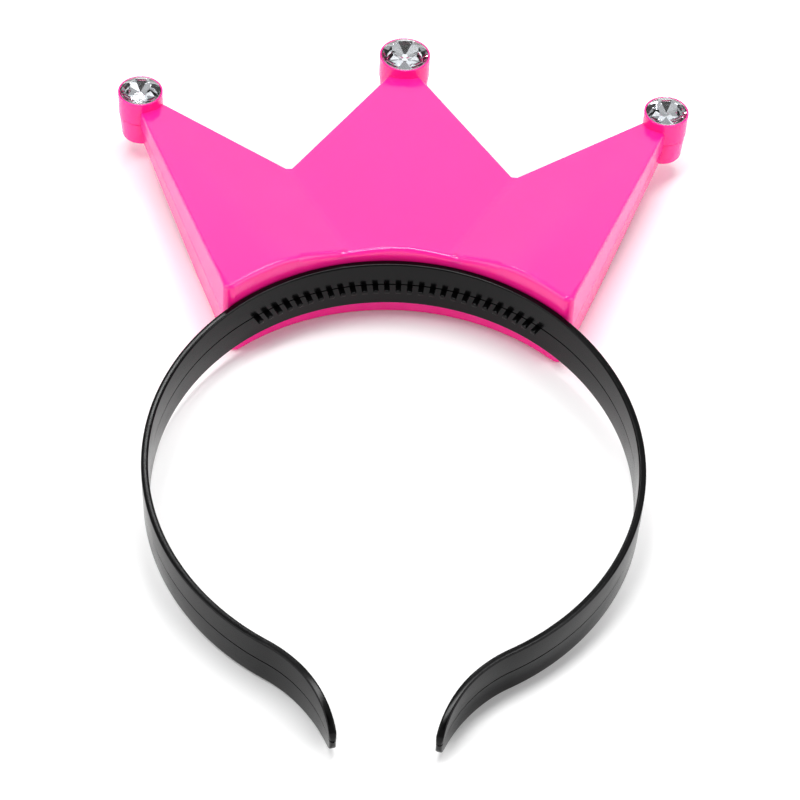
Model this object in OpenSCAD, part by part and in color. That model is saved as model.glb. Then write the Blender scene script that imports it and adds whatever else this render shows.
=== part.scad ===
// Headband with a small hollow crown on top and a cut stone at each of its three points.
// The part lies on its back: the crown's foot and the ends of the two arms touch z = 0.
// +Y runs from the open ends of the headband to the crown, +Z is the front of the crown.

/* [Headband] */
// Radius of the headband's centreline behind the crown
crown_arc_r = 65; // [62:0.5:70]
// Radius of the centreline down each side
side_arc_r = 70.8; // [66:0.2:76]
// Direction in which each side arc ends, counted from the middle of the crown, degrees
side_arc_end = 149.8; // [144:0.2:154]
// Radius of the outward flare at each end
flare_arc_r = 38.9; // [34:0.1:46]
// Angle of that flare, degrees
flare_arc_angle = 45.3; // [38:0.1:50]
// Width of the band, from its back edge to its front edge
band_w = 16.4; // [13:0.1:19]
// Thickness of the band
band_t = 2; // [1.6:0.1:2.6]
// Radius of the band's long edges
band_edge_r = 0.5; // [0.2:0.05:0.7]
// Depth of the fine parting groove along the middle of the band
parting_depth = 0.2; // [0.1:0.05:0.3]
// Width of that groove
parting_w = 0.4; // [0.2:0.05:0.6]
// Length over which each arm narrows towards its end
taper_l = 20; // [12:1:26]
// How much the front edge comes in at the end
taper_front = 6.8; // [4:0.1:6.9]
// How much the back edge comes in at the end
taper_back = 5.2; // [3:0.1:5.6]

/* [Teeth] */
// Number of gripping teeth inside the band
tooth_count = 27; // [15:2:29]
// Arc that the row of teeth covers, degrees
tooth_span = 76; // [66:1:84]
// Width of a tooth along the band
tooth_w = 1.5; // [1:0.1:1.8]
// Reach of a tooth from the inside of the band
tooth_reach = 2.2; // [1.2:0.1:3]
// Height of a tooth across the band
tooth_h = 1.2; // [0.8:0.1:2]
// Distance of the teeth behind the middle of the band
tooth_drop = 0.3; // [0.3:0.1:1]

/* [Crown outline] */
// Width across the two lower corners
base_w = 96; // [90:1:102]
// Distance between the centres of the two side stones
side_spread = 157; // [148:1:166]
// Distance of the side stones above the inside curve
side_reach = 66.5; // [60:0.1:74]
// Distance of the centre stone above the inside curve
centre_reach = 87.7; // [82:0.1:96]
// Distance between the bottoms of the two valleys
valley_spread = 65.5; // [60:0.5:72]
// Distance of the valleys above the inside curve
valley_reach = 38.1; // [32:0.1:44]
// Offset of a side point's outer edge from its stone's centre
side_neck_outer = 2; // [0.5:0.1:4]
// Offset of a side point's inner edge from its stone's centre
side_neck_inner = 3.4; // [1:0.1:4.5]
// Offset of the centre point's two edges from its stone's centre
centre_neck = 0.9; // [0.4:0.1:4]

/* [Crown thickness] */
// Wall of the two shells
wall = 1.3; // [1:0.1:2]
// Gap between the two shells along the seam
seam_gap = 0.14; // [0.06:0.02:0.3]
// Gap between the crown and the band that carries it
seat_gap = 0.15; // [0.1:0.05:0.3]
// Height of the seam over the middle of the band
seam_lift = 1.75; // [0:0.05:3]
// Lean of the crown towards its back, degrees
crown_lean = 3.5; // [0:0.5:6]
// Height of the front face at the three stones
tip_rise = 4.5; // [3:0.1:6]
// Height of the front face in the valleys
valley_rise = 4.8; // [3:0.1:6.5]
// Height of the front face at the lower corners
corner_rise = 12.4; // [9:0.1:15]
// Height of the front face at the foot of each side ridge
ridge_rise = 12.8; // [9:0.1:15]
// Height of the front face at the foot of the centre ridge
centre_rise = 11; // [9:0.1:14]
// Distance between the feet of the two side ridges
ridge_spread = 64.4; // [56:0.2:72]
// Lean of the front shell's walls, degrees
front_draft = 1; // [0.5:0.5:4]
// Depth of the back at the lower corners, where its flat foot begins
foot_depth = 16.5; // [13:0.1:20]
// Distance from the inside curve to the upper edge of that foot
foot_reach = 12; // [8:0.5:20]
// Depth of the back face beside the side stones
tip_depth = 8.3; // [6:0.1:10]
// Lean of the back shell's walls, degrees
back_draft = 6.5; // [2:0.5:8]

/* [Stones and cups] */
// Diameter of the side stones
side_stone_d = 12; // [10:0.5:13]
// Diameter of the centre stone
centre_stone_d = 14; // [12:0.5:15]
// Rim of plastic round a stone
rim_w = 0.55; // [0.4:0.05:1]
// Gap between a stone and its cup
stone_gap = 0.1; // [0.05:0.05:0.2]
// Height of the cup's rim over the seam
cup_rise = 8; // [7:0.1:10]
// Depth of the closed post behind a stone
post_depth = 8.3; // [7:0.1:10]
// Step from the cup in to the post at the seam
post_step = 0.35; // [0:0.05:0.8]
// Lean of the post's side, degrees
post_draft = 4; // [1:0.5:6]
// Radius of the post's end edge
post_edge_r = 0.8; // [0.4:0.1:1.5]
// Floor under a stone
cup_floor = 1; // [0.8:0.1:1.5]
// Height of a stone's facets over its girdle
stone_crown_h = 1.9; // [1.4:0.1:2.4]
// Depth of a stone's back under its girdle
stone_back_h = 3; // [2.4:0.1:3.6]
// Height of a stone's girdle
girdle_h = 0.5; // [0.3:0.1:0.8]
// Slope of a stone's main front facets, degrees
main_slope = 30; // [26:1:34]
// Slope of the star facets next to its table, degrees
star_slope = 18; // [14:1:20]
// Slope of its back facets, degrees
back_slope = 40; // [36:1:44]

/* [Hidden] */
$fn = 96;

pink = "#ff5bbc";
black = "#2b2b2e";
clear = "#d9dde2";

// Half spaces and blanks are cut from blocks of this size
block = 400;
// Cutters run this far past what they cut
overrun = 1;

// Centres of the headband's arcs, the crown arc's being at [0, -crown_arc_r]
seat_r = crown_arc_r + band_t / 2 + seat_gap;
// The arc behind the crown runs this angle past the crown's lower corners
seat_arc_past = 2;
seat_arc_end = asin(base_w / 2 / seat_r) + seat_arc_past;
side_centre = [0, -crown_arc_r] + (crown_arc_r - side_arc_r) * [sin(seat_arc_end), cos(seat_arc_end)];
flare_centre = side_centre + (side_arc_r + flare_arc_r) * [sin(side_arc_end), cos(side_arc_end)];
taper_angle = taper_l / flare_arc_r * 180 / PI;
// Each arc of the band starts this angle inside the arc before it, and is this much thinner all round
joint_lap = 0.3;
joint_step = 0.01;
// Straight steps that make up the curve of a tapered edge, and the steps of a rounded edge in degrees
taper_steps = 10;
edge_step = 30;
post_edge_step = 22.5;
post_edge_min = 0.1;

// Point of the flare at an angle from its start, an offset out from its centre's side and a height
function flare_point(angle, offset, z) =
    let(a = 270 - side_arc_end + angle)
    [flare_centre[0] + (flare_arc_r + offset) * cos(a), flare_centre[1] + (flare_arc_r + offset) * sin(a), z];

// How far an edge has come in at a share of the taper's length
function taper_at(share, full) = full * (1 - sqrt(1 - share * share));

// Crown plan in its own frame, with the seam at height 0 and the band's outside at the origin's curve
function seat_y(x) = sqrt(seat_r * seat_r - x * x) - crown_arc_r;
side_stone = [side_spread / 2, side_reach];
centre_stone = [0, centre_reach];
valley = [valley_spread / 2, valley_reach];
corner = [base_w / 2, seat_y(base_w / 2)];
ridge_foot = [ridge_spread / 2, seat_y(ridge_spread / 2)];
centre_foot = [0, seat_y(0)];
side_cup_r = side_stone_d / 2 + stone_gap + rim_w;
centre_cup_r = centre_stone_d / 2 + stone_gap + rim_w;

// Plane helpers: a plane is a point and its outward unit normal
function unit(v) = v / norm(v);
function mirrored(p) = [-p[0], p[1]];
function lifted(p, h) = [p[0], p[1], h];
function plane_by(a, b, c) = let(n = unit(cross(b - a, c - a))) [a, n[2] < 0 ? -n : n];
function flipped(plane) = [[-plane[0][0], plane[0][1], plane[0][2]], [-plane[1][0], plane[1][1], plane[1][2]]];

// Outward direction, in plan, of a wall that runs from one point to pass a stone's centre at an offset
function wall_dir(from, centre, offset) =
    let(
        to_centre = centre - from,
        turn = asin(offset / norm(to_centre)),
        along = atan2(to_centre[1], to_centre[0]) - turn
    )
    [sin(along), -cos(along)];

// Wall plane through a plan point, leaning in by a draft angle as it rises
function wall_plane(from, dir, draft) = [lifted(from, 0), [dir[0] * cos(draft), dir[1] * cos(draft), sin(draft)]];

outer_dir = wall_dir(corner, side_stone, side_neck_outer);
inner_dir = -wall_dir(valley, side_stone, -side_neck_inner);
centre_dir = wall_dir(valley, centre_stone, centre_neck);
// Each point ends on a plane through its stone's centre, inside the cup
side_end_dir = unit(side_stone - (corner + valley) / 2);
centre_end_dir = [0, 1];

// Facets of the front face
side_outer_facet = plane_by(lifted(side_stone, tip_rise), lifted(corner, corner_rise), lifted(ridge_foot, ridge_rise));
side_inner_facet = plane_by(lifted(side_stone, tip_rise), lifted(ridge_foot, ridge_rise), lifted(valley, valley_rise));
centre_facet = plane_by(lifted(centre_stone, tip_rise), lifted(centre_foot, centre_rise), lifted(valley, valley_rise));

// Pose on the surface: the plane through the foot's lower corners that the two arms touch
function from_crown(p) =
    [p[0], p[1] * cos(crown_lean) + p[2] * sin(crown_lean), seam_lift - p[1] * sin(crown_lean) + p[2] * cos(crown_lean)];
foot_corner = from_crown([corner[0], corner[1], -foot_depth]);
taper_shares = [0 : 0.02 : 0.9];
rest_tilt = min([for (share = taper_shares)
    let(p = flare_point(flare_arc_angle - taper_angle * (1 - share), 0, taper_at(share, taper_back) - band_w / 2))
    atan2(p[2] - foot_corner[2], foot_corner[1] - p[1])]);

// Planes of the back face, written as heights behind the seam: the foot lies flat on the surface
foot_slope = crown_lean - rest_tilt;
foot_end_depth = foot_depth - (foot_reach - corner[1]) * tan(foot_slope);
foot_plane = [lifted(corner, foot_depth), [0, sin(foot_slope), cos(foot_slope)]];
back_plane = plane_by([0, foot_reach, foot_end_depth], [1, foot_reach, foot_end_depth], [0, side_reach, tip_depth]);

function posed_y(p) = p[1] * cos(rest_tilt) - p[2] * sin(rest_tilt);
function posed_z(p) = p[1] * sin(rest_tilt) + p[2] * cos(rest_tilt);
rest_lift = -posed_z(foot_corner);
far_y = max(posed_y(from_crown([0, centre_reach + centre_cup_r, cup_rise])),
    posed_y(from_crown([0, centre_reach + centre_cup_r, 0])));
near_y = min([for (offset = [-1, 1], z = [taper_back - band_w / 2, band_w / 2 - taper_front])
    posed_y(flare_point(flare_arc_angle, offset * band_t / 2, z))]);
rest_shift = -(far_y + near_y) / 2;

module rest_pose() {
    translate([0, rest_shift, rest_lift]) rotate([rest_tilt, 0, 0]) children();
}

module in_crown_frame() {
    translate([0, 0, seam_lift]) rotate([-crown_lean, 0, 0]) children();
}

module both_sides() {
    children();
    mirror([1, 0, 0]) children();
}

// Everything on the inner side of a plane that is moved in by an inset
module inside(plane, inset) {
    n = plane[1];
    translate(plane[0] - n * inset) rotate([0, acos(n[2]), atan2(n[1], n[0])])
        translate([-block, -block, -2 * block]) cube(2 * block);
}

// Cross-section of the band, at a radius from the arc's centre, made thinner all round by an inset
module band_profile(r, inset) {
    half_t = band_t / 2 - inset;
    half_w = band_w / 2 - inset;
    // One corner with its rounded edge, then the groove in the middle of that face
    upper = concat(
        [for (a = [0 : edge_step : 90])
            [half_t - band_edge_r + band_edge_r * sin(a), half_w - band_edge_r + band_edge_r * cos(a)]],
        [[half_t, parting_w / 2], [half_t - parting_depth, 0]]
    );
    lower = [for (i = [len(upper) - 2 : -1 : 0]) [upper[i][0], -upper[i][1]]];
    right = concat(upper, lower);
    left = [for (i = [len(right) - 1 : -1 : 0]) [-right[i][0], right[i][1]]];
    translate([r, 0]) polygon(concat(right, left));
}

module band_arc(centre, r, start, sweep, inset) {
    translate(lifted(centre, 0)) rotate([0, 0, start]) rotate_extrude(angle = sweep) band_profile(r, inset);
}

// Solid that trims the flare's front or back edge, with the edge's curve in the middle of the taper
module taper_cutter(come_in) {
    reach = flare_arc_r * taper_angle * PI / 180;
    // The straight cutter covers the band and the bow of its arc over that reach
    half_span = band_t / 2 + reach * reach / (8 * flare_arc_r) + overrun;
    shares = [for (i = [0 : taper_steps]) sin(90 * i / taper_steps)];
    outline = concat(
        [for (s = shares) [(s - 0.5) * reach, band_w / 2 - taper_at(s, come_in)]],
        [[reach, band_w / 2 - come_in], [reach, band_w], [-reach / 2, band_w]]
    );
    translate(lifted(flare_centre, 0)) rotate([0, 0, 270 - side_arc_end + flare_arc_angle - taper_angle / 2])
        translate([flare_arc_r - half_span, 0, 0])
            rotate([90, 0, 90]) linear_extrude(2 * half_span) polygon(outline);
}

module arm() {
    band_arc(side_centre, side_arc_r, 90 - side_arc_end, side_arc_end - seat_arc_end + joint_lap, joint_step);
    difference() {
        band_arc(flare_centre, flare_arc_r, 270 - side_arc_end - joint_lap, flare_arc_angle + joint_lap,
            2 * joint_step);
        taper_cutter(taper_front);
        mirror([0, 0, 1]) taper_cutter(taper_back);
    }
}

module teeth() {
    pitch = tooth_span / (tooth_count - 1);
    inner_r = crown_arc_r - band_t / 2;
    for (i = [0 : tooth_count - 1])
        translate([0, -crown_arc_r, 0]) rotate([0, 0, i * pitch - tooth_span / 2])
            translate([-tooth_w / 2, inner_r - tooth_reach, -tooth_drop - tooth_h])
                cube([tooth_w, tooth_reach + band_t / 2, tooth_h]);
}

module headband() {
    color(black) rest_pose() {
        band_arc([0, -crown_arc_r], crown_arc_r, 90 - seat_arc_end, 2 * seat_arc_end, 0);
        both_sides() arm();
        teeth();
    }
}

// One half of the crown's body over the seam, with every face moved in by an inset
module crown_body(draft, side_facets, centre_facets, inset) {
    intersection() {
        translate([-block / 2, -crown_arc_r, 0]) cube(block);
        inside(wall_plane(corner, outer_dir, draft), inset);
        inside(flipped(wall_plane(corner, outer_dir, draft)), inset);
        union() {
            both_sides() intersection() {
                inside(wall_plane(valley, inner_dir, draft), inset);
                inside(wall_plane(side_stone, side_end_dir, draft), inset);
                for_planes(side_facets, inset);
            }
            intersection() {
                inside(wall_plane(valley, centre_dir, draft), inset);
                inside(flipped(wall_plane(valley, centre_dir, draft)), inset);
                inside(wall_plane(centre_stone, centre_end_dir, draft), inset);
                for_planes(centre_facets, inset);
            }
        }
    }
}

module for_planes(planes, inset) {
    intersection_for(plane = planes) inside(plane, inset);
}

module at_stones() {
    both_sides() translate(lifted(side_stone, 0)) children(0);
    translate(lifted(centre_stone, 0)) children(1);
}

// Solid inside the band's outer curve, which the crown's lower wall follows
module seat_cylinder(extra) {
    translate([0, -crown_arc_r, -block / 2]) cylinder(r = seat_r + extra, h = block);
}

// Closed post with a leaning side and a rounded end, from the seam down
module post_solid(cup_r, inset) {
    top_r = cup_r - post_step - inset;
    depth = post_depth - inset;
    edge_r = max(post_edge_r - inset, post_edge_min);
    end_r = top_r - depth * tan(post_draft);
    arc = [for (a = [0 : post_edge_step : 90]) [end_r - edge_r + edge_r * cos(a), edge_r * (1 - sin(a)) - depth]];
    rotate_extrude() polygon(concat([[0, 0], [top_r, 0]], arc, [[0, -depth]]));
}

module cup_recess(stone_d) {
    recess_h = stone_back_h + stone_gap;
    translate([0, 0, cup_rise - recess_h]) cylinder(d = stone_d + 2 * stone_gap, h = recess_h + overrun);
}

module cup_core(cup_r) {
    translate([0, 0, -overrun])
        cylinder(r = cup_r - wall, h = overrun + cup_rise - stone_back_h - stone_gap - cup_floor);
}

module crown_front() {
    color(pink) rest_pose() difference() {
        in_crown_frame() difference() {
            union() {
                crown_body(front_draft, [side_outer_facet, side_inner_facet],
                    [centre_facet, flipped(centre_facet)], 0);
                at_stones() {
                    cylinder(r = side_cup_r, h = cup_rise);
                    cylinder(r = centre_cup_r, h = cup_rise);
                }
            }
            translate([-block / 2, -block / 2, -block]) cube([block, block, block + seam_gap / 2]);
            at_stones() {
                cup_recess(side_stone_d);
                cup_recess(centre_stone_d);
            }
            at_stones() {
                cup_core(side_cup_r);
                cup_core(centre_cup_r);
            }
        }
        seat_cylinder(0);
        difference() {
            in_crown_frame() crown_body(front_draft, [side_outer_facet, side_inner_facet],
                [centre_facet, flipped(centre_facet)], wall);
            seat_cylinder(wall);
        }
    }
}

module crown_back() {
    color(pink) rest_pose() difference() {
        in_crown_frame() difference() {
            union() {
                mirror([0, 0, 1]) crown_body(back_draft, [back_plane, foot_plane], [back_plane, foot_plane], 0);
                at_stones() {
                    post_solid(side_cup_r, 0);
                    post_solid(centre_cup_r, 0);
                }
            }
            translate([-block / 2, -block / 2, -seam_gap / 2]) cube(block);
            at_stones() {
                post_solid(side_cup_r, wall);
                post_solid(centre_cup_r, wall);
            }
        }
        seat_cylinder(0);
        difference() {
            in_crown_frame() mirror([0, 0, 1])
                crown_body(back_draft, [back_plane, foot_plane], [back_plane, foot_plane], wall);
            seat_cylinder(wall);
        }
    }
}

// A stone has this many facets of each kind, and its star facets start this much outside the table's flats
facet_count = 8;
star_start = 1.02;

// Brilliant cut: table, main and star facets in front, back facets behind
module cut_stone(d) {
    r = d / 2;
    step = 360 / facet_count;
    main_edge = r * cos(step / 4);
    table_r = main_edge - (stone_crown_h - girdle_h / 2) / tan(main_slope);
    intersection() {
        translate([0, 0, -stone_back_h]) cylinder(r = r, h = stone_back_h + stone_crown_h, $fn = 2 * facet_count);
        for_planes([for (i = [0 : facet_count - 1]) slope_plane(i * step, main_slope, main_edge, girdle_h / 2)], 0);
        for_planes([for (i = [0 : facet_count - 1])
            slope_plane((i + 0.5) * step, star_slope, table_r * star_start, stone_crown_h)], 0);
        for_planes([for (i = [0 : facet_count - 1]) back_slope_plane(i * step, back_slope, main_edge, -girdle_h / 2)], 0);
    }
}

// Plane that slopes outwards and down from a point at a radius, a height and a direction
function slope_plane(turn, slope, r, z) =
    [[r * cos(turn), r * sin(turn), z], [sin(slope) * cos(turn), sin(slope) * sin(turn), cos(slope)]];
function back_slope_plane(turn, slope, r, z) =
    [[r * cos(turn), r * sin(turn), z], [sin(slope) * cos(turn), sin(slope) * sin(turn), -cos(slope)]];

module stone_at(place, d) {
    color(clear) rest_pose() in_crown_frame() translate(lifted(place, cup_rise)) cut_stone(d);
}

module stone_left() {
    stone_at(mirrored(side_stone), side_stone_d);
}

module stone_centre() {
    stone_at(centre_stone, centre_stone_d);
}

module stone_right() {
    stone_at(side_stone, side_stone_d);
}

headband();
crown_front();
crown_back();
stone_left();
stone_centre();
stone_right();
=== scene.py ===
"""Mini crown headband: a pink hollow crown with three cut stones on a black band, in a white studio.

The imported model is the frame. The crown's two shells, the band with its teeth and the stones are
modelled here over their CAD nodes, with rounded edges, rims and facets. Lengths are millimetres
until a piece is placed, and metres after that.
"""

import logging
import math
from dataclasses import dataclass
from enum import Enum

import bpy
from mathutils import Matrix, Vector


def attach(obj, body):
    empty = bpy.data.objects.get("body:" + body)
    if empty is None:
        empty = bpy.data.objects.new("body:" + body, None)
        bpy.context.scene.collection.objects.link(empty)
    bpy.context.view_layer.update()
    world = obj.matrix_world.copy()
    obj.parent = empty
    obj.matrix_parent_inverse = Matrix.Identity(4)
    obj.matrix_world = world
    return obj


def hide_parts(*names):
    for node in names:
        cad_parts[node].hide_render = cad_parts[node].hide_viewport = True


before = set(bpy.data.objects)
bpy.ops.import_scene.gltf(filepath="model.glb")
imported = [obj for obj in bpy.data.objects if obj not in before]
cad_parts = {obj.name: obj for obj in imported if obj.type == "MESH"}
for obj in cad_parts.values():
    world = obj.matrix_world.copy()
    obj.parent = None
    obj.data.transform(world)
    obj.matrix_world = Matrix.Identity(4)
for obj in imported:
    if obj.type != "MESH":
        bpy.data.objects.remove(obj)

Piece = bpy.types.Object
LOG = logging.getLogger("mini_crown_headband")
MM = 0.001
BODY = "root"
UP = Vector((0, 0, 1))
# A block this wide holds the whole headband
BLOCK = 400.0
# Points this near to each other are one point, in a cut body and in one with rounded edges
TOUCH = 1e-3
ROUND_TOUCH = 0.02
# A face of a mesh lies in a plane if it looks the same way and is this near, and two faces that
# differ by less than the angle are one
SAME_WAY = 0.99999
NEAR = 0.02
FLAT_DEG = 0.05


# Tools of the bench


class Use(Enum):
    """What a second shape does to a first."""

    JOIN = "UNION"
    CUT = "DIFFERENCE"


def deselect() -> None:
    """Leave nothing selected, so that an operator acts on one piece alone."""
    for item in bpy.context.selected_objects:
        item.select_set(False)


def take(piece: Piece) -> None:
    """Make one piece the selected and active one.

    Args:
        piece: the object to work on.
    """
    deselect()
    piece.select_set(True)
    bpy.context.view_layer.objects.active = piece


def apply(piece: Piece, kind: str, **settings: object) -> None:
    """Add a modifier with its settings and apply it.

    Args:
        piece: the object to change.
        kind: the modifier's type.
        settings: values of the modifier's own properties.
    """
    take(piece)
    modifier = piece.modifiers.new(kind.title(), kind)
    for name, value in settings.items():
        setattr(modifier, name, value)
    bpy.ops.object.modifier_apply(modifier=modifier.name)


def combine(piece: Piece, other: Piece, use: Use) -> None:
    """Join a piece with another, or cut it by it, which uses the other up.

    Args:
        piece: the object that stays.
        other: the object that is used.
        use: what the other does.
    """
    apply(piece, "BOOLEAN", operation=use.value, solver="EXACT", object=other)
    bpy.data.objects.remove(other)


def join(pieces: list[Piece]) -> Piece:
    """Put several closed shapes into one object.

    Args:
        pieces: the objects, of which the first stays.

    Returns:
        The joined object.
    """
    take(pieces[0])
    for other in pieces[1:]:
        other.select_set(True)
    bpy.ops.object.join()
    return pieces[0]


def copy_of(piece: Piece, place: Matrix) -> Piece:
    """Copy a piece with a mesh of its own and put it at a place.

    Args:
        piece: the object to copy.
        place: the transform that its mesh gets.

    Returns:
        The new object.
    """
    twin = piece.copy()
    twin.data = piece.data.copy()
    twin.data.transform(place)
    if place.determinant() < 0:
        twin.data.flip_normals()
    bpy.context.scene.collection.objects.link(twin)
    return twin


def smooth_by_angle(piece: Piece, degrees: float) -> None:
    """Shade a piece smooth, but for edges sharper than an angle."""
    take(piece)
    bpy.ops.object.shade_smooth_by_angle(angle=math.radians(degrees))


def heal(piece: Piece, reach: float = 0.0, dissolve: bool = False) -> None:
    """Turn all faces outwards, once double points and needless edges are gone.

    Args:
        piece: the object.
        reach: how far apart two points may lie that are merged, or 0 to merge none.
        dissolve: whether edges inside flat faces go.
    """
    take(piece)
    bpy.ops.object.mode_set(mode="EDIT")
    bpy.ops.mesh.select_all(action="SELECT")
    if reach:
        bpy.ops.mesh.remove_doubles(threshold=reach)
    if dissolve:
        bpy.ops.mesh.dissolve_degenerate(threshold=reach)
        bpy.ops.mesh.dissolve_limited(angle_limit=math.radians(FLAT_DEG))
    bpy.ops.mesh.normals_make_consistent()
    bpy.ops.object.mode_set(mode="OBJECT")


@dataclass(frozen=True)
class Plane:
    """A flat face: a point on it and its outward normal."""

    point: Vector
    normal: Vector

    def mirrored(self) -> "Plane":
        """Return the same face on the other side of the middle."""
        flip = Matrix.Diagonal((-1, 1, 1))
        return Plane(flip @ self.point, flip @ self.normal)

    def moved(self, place: Matrix) -> "Plane":
        """Return the face after a turn and a shift."""
        return Plane(place @ self.point, (place.to_3x3() @ self.normal).normalized())

    def holds(self, polygon: bpy.types.MeshPolygon) -> bool:
        """Return whether a face of a mesh lies in this one."""
        gap = (Vector(polygon.center) - self.point).dot(self.normal)
        return polygon.normal.dot(self.normal) > SAME_WAY and abs(gap) < NEAR


def plane_by(a: Vector, b: Vector, c: Vector, behind: bool = False) -> Plane:
    """Lay a face through three points.

    Args:
        a: first point.
        b: second point.
        c: third point.
        behind: whether the face looks backwards, and not to the front.

    Returns:
        The face.
    """
    normal = (b - a).cross(c - a).normalized()
    if (normal.z > 0) == behind:
        normal = -normal
    return Plane(a, normal)


def meeting_point(*faces: Plane) -> Vector:
    """Return the point that three faces share."""
    rows = Matrix([face.normal for face in faces])
    return rows.inverted() @ Vector([face.normal.dot(face.point) for face in faces])


def soft_ridge(apex: Vector, a: Plane, b: Plane, foot: Vector, width: float, steps: int) -> list[Plane]:
    """Lay narrow faces that round a ridge, from nothing at its apex to a width at its foot.

    Args:
        apex: point of the ridge where the rounding starts.
        a: the face on one side.
        b: the face on the other side.
        foot: point of the ridge where the rounding has its full width.
        width: that width.
        steps: the number of narrow faces.

    Returns:
        The narrow faces.
    """
    middle = (a.normal + b.normal).normalized()
    half = math.acos(min(1.0, a.normal.dot(middle)))
    radius = width / 2 / math.tan(half)
    centre = foot - middle * (radius / math.cos(half))
    way = (foot - apex).normalized()
    side = (b.normal - a.normal).normalized()
    planes = []
    for i in range(steps):
        angle = half * ((2 * i + 1) / steps - 1)
        normal = (middle * math.cos(angle) + side * math.sin(angle)).normalized()
        touch = centre + radius * normal
        planes.append(plane_by(apex, touch, touch + normal.cross(way)))
    return planes


def cut_off(piece: Piece, planes: list[Plane], close: bool = True, reach: float = 1e-5) -> Piece:
    """Cut away what lies outside some faces.

    Args:
        piece: the object to cut.
        planes: the faces.
        close: whether each cut is closed.
        reach: how near to a face a point counts as on it.

    Returns:
        The same object.
    """
    take(piece)
    bpy.ops.object.mode_set(mode="EDIT")
    for plane in planes:
        bpy.ops.mesh.select_all(action="SELECT")
        bpy.ops.mesh.bisect(plane_co=plane.point, plane_no=plane.normal, use_fill=close,
                            clear_outer=True, threshold=reach)
    bpy.ops.object.mode_set(mode="OBJECT")
    return piece


def carved_block(planes: list[Plane]) -> Piece:
    """Carve a cube down to the space inside some faces.

    Args:
        planes: the faces.

    Returns:
        The carved object.
    """
    deselect()
    bpy.ops.mesh.primitive_cube_add(size=BLOCK)
    return cut_off(bpy.context.object, planes)


def cylinder(radius: float, bottom: float, top: float, sides: int,
             top_radius: float | None = None) -> Piece:
    """Add an upright round bar, or one that narrows to its top.

    Args:
        radius: radius at the bottom.
        bottom: height of the bottom.
        top: height of the top.
        sides: number of faces around it.
        top_radius: radius at the top, if it is another.

    Returns:
        The new object, with its place in its mesh.
    """
    deselect()
    bpy.ops.mesh.primitive_cone_add(vertices=sides, radius1=radius, radius2=top_radius or radius,
                                    depth=top - bottom, location=(0, 0, (top + bottom) / 2))
    bar = bpy.context.object
    bpy.ops.object.transform_apply()
    return bar


def round_ring(piece: Piece, height: float, width: float, steps: int) -> None:
    """Round a flat ring of edges of an upright bar.

    Args:
        piece: the bar.
        height: the height of the ring.
        width: the radius of the rounding.
        steps: the number of its faces.
    """
    take(piece)
    mesh = piece.data
    # A new bar is selected all over, and what stays selected is rounded too
    for part in [*mesh.vertices, *mesh.polygons]:
        part.select = False
    for edge in mesh.edges:
        edge.select = all(abs(mesh.vertices[i].co.z - height) < TOUCH for i in edge.vertices)
    bpy.ops.object.mode_set(mode="EDIT")
    bpy.ops.mesh.select_mode(type="EDGE")
    bpy.ops.mesh.bevel(offset=width, segments=steps)
    bpy.ops.object.mode_set(mode="OBJECT")


# Finishes


def srgb(code: str) -> tuple[float, float, float, float]:
    """Turn an sRGB hex code into a linear colour.

    Args:
        code: six hex digits after a hash.

    Returns:
        Linear red, green, blue and an alpha of 1.
    """
    shares = [int(code[i:i + 2], 16) / 255 for i in (1, 3, 5)]
    return tuple(c / 12.92 if c <= 0.04045 else ((c + 0.055) / 1.055) ** 2.4 for c in shares) + (1.0,)


def add_node(tree: bpy.types.NodeTree, kind: str, inputs: dict | None = None,
             **settings: object) -> bpy.types.Node:
    """Add a node, set its properties, and fill or link its inputs.

    Args:
        tree: the material's node tree.
        kind: the node's type.
        inputs: value or output socket for each input, by name or number.
        settings: values of the node's own properties.

    Returns:
        The node.
    """
    node = tree.nodes.new(kind)
    for name, value in settings.items():
        setattr(node, name, value)
    for key, value in (inputs or {}).items():
        if isinstance(value, bpy.types.NodeSocket):
            tree.links.new(value, node.inputs[key])
        else:
            node.inputs[key].default_value = value
    return node


@dataclass(frozen=True)
class Finish:
    """A finish that makes one material."""

    name: str
    colour: str
    roughness: float

    def surface(self, tree: bpy.types.NodeTree) -> dict[str, object]:
        """Return the shader's inputs, to which each finish adds its own."""
        return {"Base Color": srgb(self.colour), "Roughness": self.roughness}

    def material(self) -> bpy.types.Material:
        """Make the material.

        Returns:
            The material, named for this finish.
        """
        material = bpy.data.materials.new(self.name)
        material.use_nodes = True
        tree = material.node_tree
        tree.nodes.clear()
        shader = add_node(tree, "ShaderNodeBsdfPrincipled", self.surface(tree))
        add_node(tree, "ShaderNodeOutputMaterial", {"Surface": shader.outputs[0]})
        return material


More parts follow.
